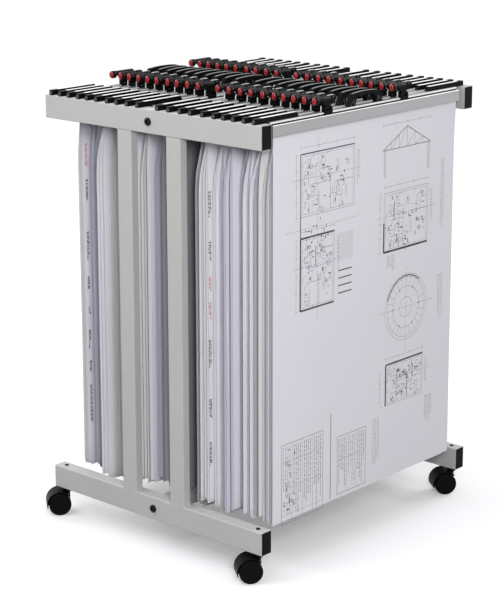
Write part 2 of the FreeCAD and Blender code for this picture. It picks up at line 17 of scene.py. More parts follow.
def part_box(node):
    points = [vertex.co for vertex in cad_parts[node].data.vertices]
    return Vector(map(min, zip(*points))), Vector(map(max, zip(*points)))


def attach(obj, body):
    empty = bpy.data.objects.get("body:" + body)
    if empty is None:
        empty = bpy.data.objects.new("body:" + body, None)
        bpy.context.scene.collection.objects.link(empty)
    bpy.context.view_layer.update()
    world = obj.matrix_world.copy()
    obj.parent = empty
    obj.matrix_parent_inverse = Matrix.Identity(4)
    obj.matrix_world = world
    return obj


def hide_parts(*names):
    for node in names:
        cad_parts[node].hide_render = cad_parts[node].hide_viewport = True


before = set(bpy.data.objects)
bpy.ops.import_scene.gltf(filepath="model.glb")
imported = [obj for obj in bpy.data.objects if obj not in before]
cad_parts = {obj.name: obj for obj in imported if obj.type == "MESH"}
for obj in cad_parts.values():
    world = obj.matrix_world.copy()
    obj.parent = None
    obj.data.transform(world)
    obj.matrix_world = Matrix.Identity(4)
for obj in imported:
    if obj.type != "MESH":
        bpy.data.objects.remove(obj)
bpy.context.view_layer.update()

MM = 0.001
SIDES = (-1, 1)
LAST = 20  # the number of clamps, and of the clamp whose levers and jaw move


def box_mm(node):
    low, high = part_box(node)
    return low / MM, high / MM


# ---------------- sizes

clear = 0.05  # keeps the faces of two pieces apart
arm_width = 10
clamp_low, clamp_high = box_mm(f"clamp_{LAST}")
jaw_low, jaw_high = box_mm(f"clamp_{LAST}_outer_jaw")
frame_low, frame_high = box_mm("front_end_frame")
rack_top = frame_high.z
clamp_places = [box_mm(f"clamp_{n:02d}")[0].x + arm_width / 2 for n in range(1, LAST + 1)]
place_last = clamp_places[-1]

clamp_front, clamp_back = clamp_low.y, clamp_high.y
clamp_middle = (clamp_front + clamp_back) / 2
fittings_y = clamp_middle - 6
spine_front, spine_back = jaw_low.y, jaw_high.y
jaw_bottom, jaw_top = jaw_low.z, jaw_high.z
jaw_left, jaw_right = jaw_low.x - place_last, jaw_high.x - place_last
spine_left, spine_right = -2, 12
ridge_top = jaw_top + 6
undercut, undercut_height = 2.5, 2.2
slot_middle = (spine_right + jaw_left) / 2
painted_strip_inset = 0.5

arm_top = rack_top + 11
arm_reach = 130
arm_slope = 6
strip_start, strip_end = 20, 124

lever_x = 8
lever_offset = 126.5
pivot_z = ridge_top + 6.4
barrel_z = jaw_top + 30
barrel_radius = 7.5
barrel_front, barrel_back = -39, 26
collar_radius, collar_length = 8.2, 9
bracket_length, bracket_width = 26, 10

handle_x = 4.5
handle_half = 5
handle_top = ridge_top + 27.5
handle_bar = 8
handle_arch = 5
gusset_far, gusset_near, gusset_crown, gusset_rise = 54, 38, 41, 12
gusset_low = ridge_top + 1

sheet_low, sheet_high = box_mm(f"sheets_{LAST}")
sheet_top = sheet_high.z
sheet_thickness = 0.22

post_middle, post_half, post_depth = 70, 20, 20
rail_height = 50
lower_rail_top = frame_low.z + rail_height
upper_rail_bottom = rack_top - rail_height


def tip_y(side):
    return clamp_front if side < 0 else clamp_back


def lever_y(side):
    return fittings_y + lever_offset * side


# ---------------- mesh helpers


def ring(bm, axis, along, outline):
    """An outline across an axis: (Y, Z) points for X, (X, Z) for Y and (X, Y) for Z."""
    loop = []
    for point in outline:
        place = list(point)
        place.insert("XYZ".index(axis), along)
        loop.append(bm.verts.new(place))
    return loop


def join_rings(bm, one, other):
    """Quads between two closed rings of the same number of points."""
    for index in range(len(one)):
        after = (index + 1) % len(one)
        bm.faces.new((one[index], one[after], other[after], other[index]))


def skin(bm, rings):
    """A closed solid through a row of rings."""
    for one, other in zip(rings, rings[1:]):
        join_rings(bm, one, other)
    for loop in (rings[0], rings[-1]):
        bm.faces.new(loop)


def prism(bm, axis, start, end, outline):
    """A straight solid with the given outline, between two planes."""
    skin(bm, [ring(bm, axis, along, outline) for along in (start, end)])


def tube_prism(bm, axis, start, end, outline, bore):
    """A prism with a bore right through it."""
    walls = []
    for along in (start, end):
        loops = [ring(bm, axis, along, outline), ring(bm, axis, along, bore)]
        edges = [bm.edges.new(pair) for loop in loops for pair in zip(loop, loop[1:] + loop[:1])]
        bmesh.ops.triangle_fill(bm, use_beauty=True, use_dissolve=False, edges=edges)
        walls.append(loops)
    for near, far in zip(*walls):
        join_rings(bm, near, far)


def lathe(bm, axis, centre, profile, segments, facing=1):
    """Turns (along, radius) points round an axis through a centre. A radius of 0 is a pole."""
    along_axis = "XYZ".index(axis)
    others = [i for i in range(3) if i != along_axis]
    rings = []
    for along, radius in profile:
        loop = []
        for step in range(segments if radius else 1):
            angle = 2 * pi * step / segments
            point = Vector(centre)
            point[along_axis] += along * facing
            point[others[0]] += radius * cos(angle)
            point[others[1]] += radius * sin(angle)
            loop.append(bm.verts.new(point))
        rings.append(loop)
    for one, other in zip(rings, rings[1:]):
        if len(one) == len(other):
            join_rings(bm, one, other)
        else:
            pole, loop = (one[0], other) if len(one) == 1 else (other[0], one)
            for step in range(segments):
                bm.faces.new((pole, loop[step], loop[(step + 1) % segments]))
    for loop in (rings[0], rings[-1]):
        if len(loop) > 1:
            bm.faces.new(loop)


def soften(bm, width, segments=2, degrees=25):
    """Rounds every edge that turns by more than an angle."""
    sharp = [edge for edge in bm.edges
             if len(edge.link_faces) == 2 and edge.calc_face_angle(0) > radians(degrees)]
    bmesh.ops.bevel(bm, geom=sharp, offset=width, segments=segments, affect="EDGES",
                    clamp_overlap=True)


def both_ways(middle, half):
    """A whole outline from its half on one side of a middle."""
    return ([(middle + along, up) for along, up in half]
            + [(middle - along, up) for along, up in reversed(half)])


def crowned(half_width, low, thick):
    """The section of a strip with chamfered upper edges."""
    side, chamfer = thick * 0.6, 0.5
    return ((-half_width, low), (half_width, low), (half_width, side),
            (half_width - chamfer, thick), (-half_width + chamfer, thick), (-half_width, side))


def make_mesh(name, bm, material, smooth_degrees=40):
    bmesh.ops.recalc_face_normals(bm, faces=bm.faces)
    bmesh.ops.scale(bm, vec=(MM, MM, MM), verts=bm.verts)
    mesh = bpy.data.meshes.new(name)
    bm.to_mesh(mesh)
    bm.free()
    mesh.materials.append(material)
    mesh.shade_smooth()
    mesh.set_sharp_from_angle(angle=radians(smooth_degrees))
    return mesh


def add_object(name, data):
    thing = bpy.data.objects.new(name, data)
    bpy.context.scene.collection.objects.link(thing)
    return thing


def add_piece(name, mesh, body, at_x=0, replaces=()):
    piece = add_object(name, mesh)
    piece.location.x = at_x * MM
    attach(piece, body)
    if replaces:
        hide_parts(*replaces)
    return piece


# ---------------- materials


class Nodes:
    """The node tree of a material or a world, with short ways to add to it."""

    def __init__(self, owner):
        owner.use_nodes = True
        self.tree = owner.node_tree

    def new(self, kind, **values):
        """A node of a kind, with some inputs set. In their names _ stands for a space."""
        node = self.tree.nodes.new(f"ShaderNode{kind}")
        for name, value in values.items():
            node.inputs[name.replace("_", " ")].default_value = value
        return node

    def link(self, output, entry):
        self.tree.links.new(output, entry)

    def maths(self, kind, operation, *factors):
        node = self.new(kind)
        node.operation = operation
        for factor, entry in zip(factors, node.inputs):
            self.link(factor, entry)
        return node.outputs["Value"]

    def spread(self, factor, low, high, start=0.0, end=1.0):
        """Turns start to end into low to high."""
        node = self.new("MapRange", From_Min=start, From_Max=end, To_Min=low, To_Max=high)
        self.link(factor, node.inputs["Value"])
        return node.outputs["Result"]

    def straight(self):
        """1 where the camera looks, itself or by a reflection, and 0 for light that falls."""
        path = self.new("LightPath").outputs
        return self.maths("Math", "MAXIMUM", path["Is Camera Ray"], path["Is Glossy Ray"])


class Finish(Nodes):
    """A material whose colour, roughness and bump come from short node chains."""

    def __init__(self, name, colour, roughness, metallic=0.0, shine=0.5):
        self.material = bpy.data.materials.new(name)
        super().__init__(self.material)
        self.shader = self.tree.nodes["Principled BSDF"].inputs
        self.colour = colour
        self.roughness = roughness
        self.shader["Metallic"].default_value = metallic
        self.shader["Specular IOR Level"].default_value = shine
        self.place = self.new("TexCoord").outputs["Object"]
        self.bump = None

    def noise(self, scale, detail=3.0, stretch=(1, 1, 1)):
        """Noise of so many cells a metre, which can be stretched along an axis."""
        mapping = self.new("Mapping", Scale=stretch)
        texture = self.new("TexNoise", Scale=scale, Detail=detail)
        self.link(self.place, mapping.inputs["Vector"])
        self.link(mapping.outputs["Vector"], texture.inputs["Vector"])
        return texture.outputs["Fac"]

    def tint(self, change, *cells):
        """Varies the colour by a share either way."""
        node = self.new("ValToRGB")
        steps = ((0.3, 1 - change), (0.7, 1 + change))
        for element, (position, share) in zip(node.color_ramp.elements, steps):
            element.position = position
            element.color = (*(min(1, level * share) for level in self.colour), 1)
        self.link(self.noise(*cells), node.inputs["Fac"])
        self.link(node.outputs["Color"], self.shader["Base Color"])

    def rough(self, change, *cells):
        """Varies the roughness either way."""
        low, high = self.roughness - change, self.roughness + change
        varied = self.spread(self.noise(*cells), low, high)
        self.link(varied, self.shader["Roughness"])

    def relief(self, depth, *cells):
        """Bump of a depth in millimetres. Calls add up."""
        node = self.new("Bump", Distance=depth * MM)
        self.link(self.noise(*cells), node.inputs["Height"])
        if self.bump:
            self.link(self.bump, node.inputs["Normal"])
        self.bump = node.outputs["Normal"]
        self.link(self.bump, self.shader["Normal"])


def srgb(*levels):
    """Linear colour from sRGB levels of 0 to 255."""
    linear = []
    for level in levels:
        share = level / 255
        linear.append(share / 12.92 if share < 0.04045 else ((share + 0.055) / 1.055) ** 2.4)
    return linear


def powder_coat():
    finish = Finish("powder_coat", srgb(197, 197, 196), 0.46)
    finish.tint(0.02, 9)
    finish.rough(0.05, 60)
    finish.relief(0.05, 1500, 2)
    finish.relief(0.03, 300, 2)
    return finish.material


def moulded_plastic(name, levels, roughness, grain=0.03, shine=0.04):
    finish = Finish(name, srgb(*levels), roughness, shine=shine)
    finish.tint(0.12, 40)
    finish.rough(0.06, 120)
    finish.relief(grain, 2200, 2)
    return finish.material


def brushed_metal(name, levels, roughness, depth=0.006, metallic=1.0):
    along = (1, 0.02, 1)
    finish = Finish(name, srgb(*levels), roughness, metallic)
    finish.tint(0.03, 30, 2, along)
    finish.rough(0.07, 900, 2, along)
    finish.relief(depth, 2500, 2, along)
    return finish.material


def plain_paper(name, levels):
    finish = Finish(name, srgb(*levels), 0.82, shine=0.25)
    finish.tint(0.012, 3)
    finish.rough(0.04, 80)
    finish.relief(0.02, 1200, 4)
    finish.relief(0.35, 14, 2)
    return finish.material


def ink(name, levels):
    finish = Finish(name, srgb(*levels), 0.7)
    finish.tint(0.18, 160, 4)
    finish.rough(0.05, 300)
    return finish.material


COAT = powder_coat()
BLACK = moulded_plastic("black_plastic", (12, 12, 13), 0.4)
TIP_BLACK = moulded_plastic("arm_plastic", (13, 13, 14), 0.36)
CAP_BLACK = moulded_plastic("cap_plastic", (20, 20, 21), 0.5, 0.05)
WHEEL_BLACK = moulded_plastic("wheel_plastic", (15, 15, 17), 0.42)
RED = moulded_plastic("red_plastic", (152, 26, 32), 0.24, 0.015, 0.5)
# pale grey: painted highlight along the levers' barrels
BARREL_HIGHLIGHT = moulded_plastic("barrel_painted_highlight", (196, 200, 200), 0.4, 0.01, 0.5)
STEEL = brushed_metal("zinc_steel", (190, 190, 192), 0.35)
BLACK_STEEL = moulded_plastic("black_steel", (14, 14, 16), 0.34, 0.01, 0.12)
ALUMINIUM = brushed_metal("satin_aluminium", (160, 159, 161), 0.42)
RIDGE_METAL = brushed_metal("ridge_aluminium", (158, 158, 160), 0.44)
# near white: bright metal on the bracket cheeks, and painted highlight on the arm strips, the
# ridge's side and the jaw's top edge
BRIGHT = brushed_metal("bright_aluminium_and_painted_highlight", (252, 252, 252), 0.42, 0.003, 0.3)
# grey metal: painted highlight along the handles' tops
INLAY_HIGHLIGHT = brushed_metal("grey_inlay_painted_highlight", (150, 151, 153), 0.44)
# mid grey: painted highlight along the gussets' edges
GUSSET_HIGHLIGHT = moulded_plastic("gusset_edge_painted_highlight", (96, 97, 99), 0.4, 0.01, 0.5)
# dark grey: painted highlight on the rings at the arms' ends
TIP_HIGHLIGHT = moulded_plastic("tip_ring_painted_highlight", (66, 66, 68), 0.36, 0.01, 0.5)
# black: painted shade in the undercut below the ridge
UNDERCUT_SHADE = moulded_plastic("undercut_painted_shade", (12, 12, 13), 0.7)
PAPER = plain_paper("plan_paper", (241, 240, 247))
WARM_PAPER = plain_paper("warm_paper", (236, 236, 234))
COOL_PAPER = plain_paper("cool_paper", (214, 213, 232))
GREY_PAPER = plain_paper("grey_paper", (188, 188, 198))
# dark paper: painted shade on the creased bundles' sheets
SHADE_PAPER = plain_paper("painted_shade_paper", (136, 136, 142))
INKS = {
    "dark": ink("wall_line_ink", (36, 36, 42)),
    "fine": ink("fine_line_ink", (132, 132, 142)),
    "red": ink("red_note_ink", (212, 124, 134)),
}


# ---------------- carried-over CAD nodes

CAD_FINISHES = (  # each with the starts of its nodes' names
    (COAT, ("front_end_frame", "rear_end_frame", "top_beam", "bottom_beam")),
    (STEEL, ("beam_end_inserts",)),
    (BLACK_STEEL, ("beam_bolts", "caster_stems")),
    (CAP_BLACK, ("tube_end_caps",)),
    (BLACK, ("caster_housing",)),
    (WHEEL_BLACK, ("caster_wheels",)),
)


def finish_cad_nodes():
    for name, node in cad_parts.items():
        for material, starts in CAD_FINISHES:
            if name.startswith(starts):
                node.data.materials.clear()
                node.data.materials.append(material)
                node.data.shade_smooth()
                node.data.set_sharp_from_angle(angle=radians(30))


def weld_bead(bm, x, side, z, up, start, end):
    """A slightly uneven fillet in one corner between a post's side and a rail."""
    leg, steps, buried = 2.4, 12, 0.5
    loops = []
    for step in range(steps + 1):
        y = start + (end - start) * step / steps
        size = leg * (0.85 + 0.3 * noise.noise(Vector((x, y / 2, z))))
        section = ((-buried, -buried), (size, -buried), (size, 0.2), (0.45 * size, 0.45 * size),
                   (0.2, size), (-buried, size))
        loops.append([bm.verts.new((x + out * side, y, z + rise * up)) for out, rise in section])
    skin(bm, loops)


def add_weld_beads():
    """Fillet welds where the posts' sides meet the rails."""
    bm = bmesh.new()
    rails = (lower_rail_top, 1), (upper_rail_bottom, -1)
    for end, post, side, (z, up) in product(SIDES, (-post_middle, post_middle), SIDES, rails):
        outer = frame_low.y * -end
        weld_bead(bm, post + post_half * side, side, z, up,
                  outer - end, outer - end * (post_depth - 1))
    add_piece("weld_beads", make_mesh("weld_beads", bm, COAT, 60), "frame")


# ---------------- clamp pieces, at X = 0


def spine_mesh():
    """The inner jaw: a hollow profile whose ridge stands above the outer jaw."""
    wall, setback, chamfer = 1.6, 0.5, 0.4
    side, neck = spine_right - setback, spine_right - undercut
    overhang = jaw_top + undercut_height
    outline = [
        (spine_left, jaw_bottom), (spine_right, jaw_bottom), (spine_right, jaw_top),
        (neck, jaw_top), (neck, overhang), (side, overhang), (side, ridge_top - chamfer),
        (side - chamfer, ridge_top), (spine_left + chamfer, ridge_top),
        (spine_left, ridge_top - chamfer),
    ]
    bore = [
        (spine_left + wall, jaw_bottom + wall), (spine_right - wall, jaw_bottom + wall),
        (spine_right - wall, jaw_top - wall), (neck - wall, jaw_top - wall),
        (neck - wall, ridge_top - wall), (spine_left + wall, ridge_top - wall),
    ]
    bm = bmesh.new()
    tube_prism(bm, "Y", spine_front, spine_back, outline, bore)
    return make_mesh("spine", bm, RIDGE_METAL)


def outer_jaw_mesh():
    """A plate with gripping lips inside, and two fine grooves along its outside."""
    lip, lip_height, groove, chamfer = 0.7, 3, 0.4, 0.7
    edge = 2
    web = jaw_left + lip
    outline = [
        (jaw_left, jaw_bottom), (jaw_right, jaw_bottom), (jaw_right, jaw_bottom + edge),
        (jaw_right - groove, jaw_bottom + edge + groove),
        (jaw_right, jaw_bottom + edge + 2 * groove), (jaw_right, jaw_top - edge - 2 * groove),
        (jaw_right - groove, jaw_top - edge - groove), (jaw_right, jaw_top - edge),
        (jaw_right, jaw_top - chamfer), (jaw_right - chamfer, jaw_top), (jaw_left, jaw_top),
        (jaw_left, jaw_top - lip_height), (web, jaw_top - lip_height),
        (web, jaw_bottom + lip_height), (jaw_left, jaw_bottom + lip_height),
    ]
    bm = bmesh.new()
    prism(bm, "Y", spine_front, spine_back, outline)
    return make_mesh("outer_jaw", bm, ALUMINIUM)


def painted_strip_mesh(name, outline, material):
    """A slim profile along the jaws, a little shorter than they are. It carries the painted
    highlights and the painted shade along the jaws.
    """
    bm = bmesh.new()
    prism(bm, "Y", spine_front + painted_strip_inset, spine_back - painted_strip_inset, outline)
    return make_mesh(name, bm, material)


def ridge_highlight_mesh():
    """A bright strip along the side of the spine's ridge, above the slot: a painted highlight on
    the ridge's lit side.
    """
    chamfer = 0.4
    low, high = jaw_top + undercut_height, ridge_top - 0.3
    left, right = spine_right - 1.2, spine_right - 0.35
    outline = [(left, low), (right, low), (right, high - chamfer), (right - chamfer, high),
               (left, high)]
    return painted_strip_mesh("ridge_painted_highlight", outline, BRIGHT)


def undercut_shade_mesh():
    """A black strip in the undercut below the ridge: painted shade along the slot."""
    left, foot, crest = spine_right - undercut + clear, spine_right - 0.2, spine_right - 0.7
    low, high = jaw_top + clear, jaw_top + undercut_height - clear
    outline = [(left, low), (foot, low), (crest, high), (left, high)]
    return painted_strip_mesh("slot_painted_shade", outline, UNDERCUT_SHADE)


def jaw_highlight_mesh():
    """A bright strip along the outer jaw's top: a painted highlight on its edge."""
    size, proud, chamfer = 1.3, 0.08, 0.8
    left, right = jaw_right - size, jaw_right + proud
    low, top = jaw_top - size, jaw_top + proud
    outline = [(left, low), (right, low), (right, top - chamfer), (right - chamfer, top),
               (left, top)]
    return painted_strip_mesh("jaw_top_painted_highlight", outline, BRIGHT)


def arms_mesh():
    """Both arms, over the rail and along the ridge, with a ringed boss on each side of a tip."""
    boss_back, boss_drop, boss_radius, proud = 20, 5.5, 3.8, 0.45
    rim = [(0, boss_radius), (proud, boss_radius), (proud, boss_radius - 0.8),
           (clear, boss_radius - 1), (clear, 0)]
    bm = bmesh.new()
    for side in SIDES:
        tip = tip_y(side)
        step = spine_front if side < 0 else spine_back
        end = tip - arm_reach * side
        outline = [(tip, rack_top + clear), (tip, arm_top), (end + arm_slope * side, arm_top),
                   (end, ridge_top + clear), (step, ridge_top + clear), (step, rack_top + clear)]
        prism(bm, "X", -arm_width / 2, arm_width / 2, outline)
    soften(bm, 1.1, 3)
    for side, facing in product(SIDES, SIDES):
        centre = (facing * (arm_width / 2 - proud), tip_y(side) - boss_back * side,
                  arm_top - boss_drop)
        lathe(bm, "X", centre, rim, 20, facing)
    return make_mesh("arms", bm, TIP_BLACK)


def tip_ring_mesh():
    """A raised ring on each arm's end face, its grey a painted highlight."""
    radius, proud, centre_z = 3.9, 0.7, rack_top + 5.4
    profile = [(-0.3, radius), (proud - 0.2, radius), (proud, radius - 0.4), (proud, radius - 1.1),
               (0.1, radius - 1.5), (0.1, 0)]
    bm = bmesh.new()
    for side in SIDES:
        lathe(bm, "Y", (0, tip_y(side), centre_z), profile, 20, side)
    return make_mesh("tip_rings", bm, TIP_HIGHLIGHT)


def strip_mesh():
    """The bright metal strip let into the top of each arm, painted near white so that it also
    carries the highlight of the arm's top.
    """
    half, sunk, proud = 4.1, 1, 0.3
    low, high = arm_top - sunk, arm_top + proud
    bm = bmesh.new()
    for side in SIDES:
        ends = sorted(tip_y(side) - along * side for along in (strip_start, strip_end))
        prism(bm, "Y", *ends, [(-half, low), (half, low), (half, high), (-half, high)])
    soften(bm, 0.3)
    return make_mesh("arm_strips", bm, BRIGHT)


def bracket_mesh():
    """Two ears on a base, with a skirt that hangs over the slot between the jaws."""
    ear = 3.5
    half, reach = bracket_width / 2, bracket_length / 2
    skirt_inner, skirt_outer, skirt_bottom = spine_right + 0.2, spine_right + 1.8, jaw_top + 0.6
    bottom, base, top = ridge_top + clear, ridge_top + 2, ridge_top + 10
    ears = [(reach, bottom), (reach, top), (reach - ear, top), (reach - ear, base)]
    skirt = [(lever_x, bottom), (skirt_inner, bottom), (skirt_inner, skirt_bottom),
             (skirt_outer, skirt_bottom), (skirt_outer, base - clear), (lever_x, base - clear)]
    bm = bmesh.new()
    for side in SIDES:
        y = lever_y(side)
        prism(bm, "X", lever_x - half, lever_x + half, both_ways(y, ears))
        prism(bm, "Y", y - reach, y + reach, skirt)
    soften(bm, 0.5)
    return make_mesh("lever_brackets", bm, BLACK)


def cheek_mesh():
    """A bright metal cheek on the front of each bracket."""
    half_width, height, thick, sunk, chamfer = 1.2, 12, 0.6, 0.2, 1
    middle = lever_x - bracket_width / 2 + half_width
    top = ridge_top + height
    half = [(half_width, ridge_top + 0.1), (half_width, top - chamfer), (half_width - chamfer, top)]
    bm = bmesh.new()
    for side in SIDES:
        near = lever_y(side) - bracket_length / 2
        prism(bm, "Y", near - thick, near + sunk, both_ways(middle, half))
    return make_mesh("bracket_cheeks", bm, BRIGHT)


def pin_mesh():
    """Hinge pins with a small domed head at each end."""
    radius, head, dome = 2, 2.7, 0.8
    half = bracket_length / 2
    end = [(half, radius), (half, head), (half + dome * 0.6, head * 0.7), (half + dome, 0)]
    profile = [(-along, size) for along, size in reversed(end)] + end
    bm = bmesh.new()
    for side in SIDES:
        lathe(bm, "Y", (lever_x, lever_y(side), pivot_z), profile, 16)
    return make_mesh("hinge_pins", bm, BLACK_STEEL)


def lever_mesh(sides):
    """T-levers: a round foot, a neck, a stem that flares, and a barrel with a collar and a knob."""
    half_neck, half_stem, half_flare, half_thick, slim = 9, 11.75, 19, 4, 1.8
    shoulder, flare_top = pivot_z + 7.5, barrel_z - 2.5
    stem = [(half_neck, pivot_z), (half_neck, shoulder), (half_stem, shoulder),
            (half_flare, flare_top)]
    bm = bmesh.new()
    for side in sides:
        outline = both_ways(lever_y(side), stem)
        prism(bm, "X", lever_x - half_thick, lever_x + half_thick, outline)
    soften(bm, 0.9, 3)
    front, back, r, collar = barrel_front, barrel_back, barrel_radius - slim, collar_radius
    collar_end, chamfer, foot_radius = front + collar_length, 0.8, half_thick - clear
    foot = [(-half_neck, 0), (-half_neck, foot_radius), (half_neck, foot_radius), (half_neck, 0)]
    head = [(front, 0), (front, collar), (collar_end - chamfer, collar),
            (collar_end, collar - chamfer), (collar_end, 0)]
    profile = [
        (front + 1, 0), (front + 1, r), (back - 20, r), (back - 18.8, r - 0.9),
        (back - 17.6, r - 0.3), (back - 8, r - 0.5), (back - 6.4, r - 1.6), (back - 4.8, r - 0.4),
        (back - 1.4, r - 0.4), (back - 0.3, r - 1.4), (back, r - 2.4), (back, 0),
    ]
    for side in sides:
        y = lever_y(side)
        lathe(bm, "Y", (lever_x, y, pivot_z), foot, 20)
        lathe(bm, "Y", (lever_x, y, barrel_z), head, 28)
        lathe(bm, "Y", (lever_x, y, barrel_z + slim), profile, 28)
    return make_mesh("levers", bm, BLACK, 50)


def barrel_highlight_mesh(sides):
    """A pale strip along the top of each barrel's back half that hooks down round its end: a
    painted highlight along the barrel's top and rim.
    """
    half_width, thick, steps, reach, bend, turn = 1.7, 1.1, 9, 24, 7, 115
    r = barrel_radius
    path = [(barrel_back - reach, r - 0.7), (barrel_back - reach + 4, r - 0.1)]
    for step in range(steps + 1):
        angle = radians(90 - turn * step / steps)
        along = barrel_back - bend + (bend - thick) * cos(angle)
        path.append((along, r - bend + bend * sin(angle)))
    bm = bmesh.new()
    for side in sides:
        y, loops = lever_y(side), []
        for index, (along, up) in enumerate(path):
            before, after = path[max(0, index - 1)], path[min(len(path) - 1, index + 1)]
            run = Vector((after[0] - before[0], after[1] - before[1])).normalized()
            out_y, out_z = -run.y * thick, run.x * thick
            loops.append([
                bm.verts.new((lever_x + dx, y + along + out_y * rise, barrel_z + up + out_z * rise))
                for dx, rise in crowned(half_width, 0, 1)
            ])
        skin(bm, loops)
    return make_mesh("barrel_highlights", bm, BARREL_HIGHLIGHT, 50)


def red_cap_mesh(sides):
    """Domed oval buttons on the levers' front ends, each with a ring groove and a dimple."""
    r, face, narrow = collar_radius, -3.5, 0.68
    profile = [(0, 0), (0, r - 0.2), (-0.5, r), (-1.1, r - 0.1), (-1.9, r - 0.9), (-2.5, r - 2.2),
               (-2.8, r - 3.2), (-2.3, r - 3.6), (-2.4, r - 4.1), (face + 0.2, r - 4.6),
               (face, 2), (face + 0.7, 1.4), (face + 0.8, 0)]
    bm = bmesh.new()
    for side in sides:
        lathe(bm, "Y", (lever_x, lever_y(side) + barrel_front, barrel_z), profile, 28)
    for vert in bm.verts:
        vert.co.x = lever_x + (vert.co.x - lever_x) * narrow
    return make_mesh("lever_caps", bm, RED, 50)


def handle_outline():
    """The carry handle's side view: gusset legs and an arched bar."""
    half_foot, half_crest, half_gap, half_corner, fillet, drop = 57, 47, 35, 32, 6, 8
    under = handle_top - handle_bar
    steps, first = 8, 8
    arch = (radians(first + (180 - 2 * first) * i / steps) for i in range(steps, -1, -1))
    crest = [
        (fittings_y + half_crest * cos(angle) / cos(radians(first)),
         handle_top - handle_arch + handle_arch * sin(angle))
        for angle in arch
    ]
    leg = [(half_foot, ridge_top), (half_gap, ridge_top), (half_corner, under - drop),
           (half_corner - fillet, under)]
    return both_ways(fittings_y, leg) + crest


def handle_mesh():
    """The handle, with a raised triangular gusset on both faces of each leg."""
    proud = 0.4
    bm = bmesh.new()
    prism(bm, "X", handle_x - handle_half, handle_x + handle_half, handle_outline())
    soften(bm, 1.2, 3, 35)
    for side in SIDES:
        gusset = [(fittings_y + along * side, up) for along, up in (
            (gusset_near, gusset_low), (gusset_far, gusset_low),
            (gusset_crown, gusset_low + gusset_rise))]
        prism(bm, "X", handle_x - handle_half - proud, handle_x + handle_half + proud, gusset)
    return make_mesh("handle", bm, BLACK, 50)


def gusset_edge_mesh():
    """Pale edges round the gussets on both faces of the handle's legs: painted highlights along the
    gussets' edges.
    """
    proud, wide = 0.6, 1.1
    crown_z = gusset_low + gusset_rise
    bars = (
        ((gusset_far, gusset_low), (gusset_far - wide, gusset_low), (gusset_crown, crown_z - 0.8),
         (gusset_crown, crown_z)),
        ((gusset_near, gusset_low), (gusset_near + wide, gusset_low),
         (gusset_crown + wide * 0.3, crown_z), (gusset_crown - wide * 0.7, crown_z)),
    )
    bm = bmesh.new()
    for side, facing, bar in product(SIDES, SIDES, bars):
        faces = sorted(handle_x + (handle_half + out) * facing for out in (0, proud))
        prism(bm, "X", *faces, [(fittings_y + along * side, up) for along, up in bar])
    return make_mesh("gusset_edges", bm, GUSSET_HIGHLIGHT)


def handle_strip_mesh():
    """A grey inlay along the handle's arched top, which stands for the highlight along it: a
    painted highlight.
    """
    half_width, half_length, thick, steps, half_arch = 2.1, 41, 0.5, 20, 47.5
    bm = bmesh.new()
    loops = []
    for i in range(steps + 1):
        along = half_length * (2 * i / steps - 1)
        z = handle_top - handle_arch + handle_arch * sqrt(1 - (along / half_arch) ** 2)
        loops.append([bm.verts.new((handle_x + dx, fittings_y + along, z + dz))
                      for dx, dz in crowned(half_width, -1, thick)])
    skin(bm, loops)
    return make_mesh("handle_strip", bm, INLAY_HIGHLIGHT)


def lever_set(sides, words):
    meshes = lever_mesh(sides), red_cap_mesh(sides), barrel_highlight_mesh(sides)
    return list(zip(words, meshes, ("lever_plastic", "red_plastic", "lever_plastic")))


def add_set(pieces, start, body, x, replaced=()):
    """Pieces from (word, mesh, slot); the slot is not used. The first one replaces the body's node.
    """
    for word, mesh, slot in pieces:
        add_piece(f"{start}_{word}", mesh, body, x, replaced)
        replaced = ()


def add_clamps():
    """Every clamp's pieces share their meshes. The last clamp's levers and jaw ride alone."""
    fixed = [
        ("spine", spine_mesh(), "aluminium"),
        ("ridge_painted_highlight", ridge_highlight_mesh(), "aluminium"),
        ("slot_painted_shade", undercut_shade_mesh(), "black_plastic"),
        ("arms", arms_mesh(), "black_plastic"),
        ("tip_rings", tip_ring_mesh(), "black_plastic"),
        ("arm_strips", strip_mesh(), "aluminium"),
        ("brackets", bracket_mesh(), "black_plastic"),
        ("bracket_cheeks", cheek_mesh(), "aluminium"),
        ("hinge_pins", pin_mesh(), "steel"),
        ("handle", handle_mesh(), "black_plastic"),
        ("handle_highlight_inlay", handle_strip_mesh(), "aluminium"),
        ("gusset_edges", gusset_edge_mesh(), "black_plastic"),
    ]
    jaw = [
        ("jaw_plate", outer_jaw_mesh(), "aluminium"),
        ("jaw_top_painted_highlight", jaw_highlight_mesh(), "aluminium"),
    ]
    levers = lever_set(SIDES, ("levers", "lever_caps", "barrel_highlights"))
    for number, x in enumerate(clamp_places, 1):
        clamp = f"clamp_{number:02d}"
        add_set(fixed, clamp, clamp, x, [clamp])
        if number < LAST:
            add_set(jaw + levers, clamp, clamp, x)
    last = f"clamp_{LAST}"
    body = f"{last}_outer_jaw"
    add_set(jaw, last, body, place_last, [body])
    for word, side in (("front", -1), ("rear", 1)):
        body = f"{last}_lever_{word}"
        alone = lever_set((side,), ("t_lever", "red_cap", "barrel_highlight"))
        add_set(alone, f"{last}_{word}", body, place_last, [body])


# ---------------- sheets

FIRST_DRAWN = (2, 3)
NOTED = (1, 7, 13, 14, 15)
# bundles whose sheets crease more, and whose grey and dark papers are painted shade
CREASED_PAINTED_SHADE = (11, 12)


def smooth(share):
    share = max(0.0, min(1.0, share))
    return share * share * (3 - 2 * share)


def folds(y, z, width, height, seed):
    """Noise whose folds are about so many millimetres wide and high."""
    return noise.noise(Vector((y / width, z / height, seed)))


def near_edge(distance, reach):
    """1 at an edge, down to 0 at its reach."""
    return max(0.0, 1 - distance / reach) ** 2


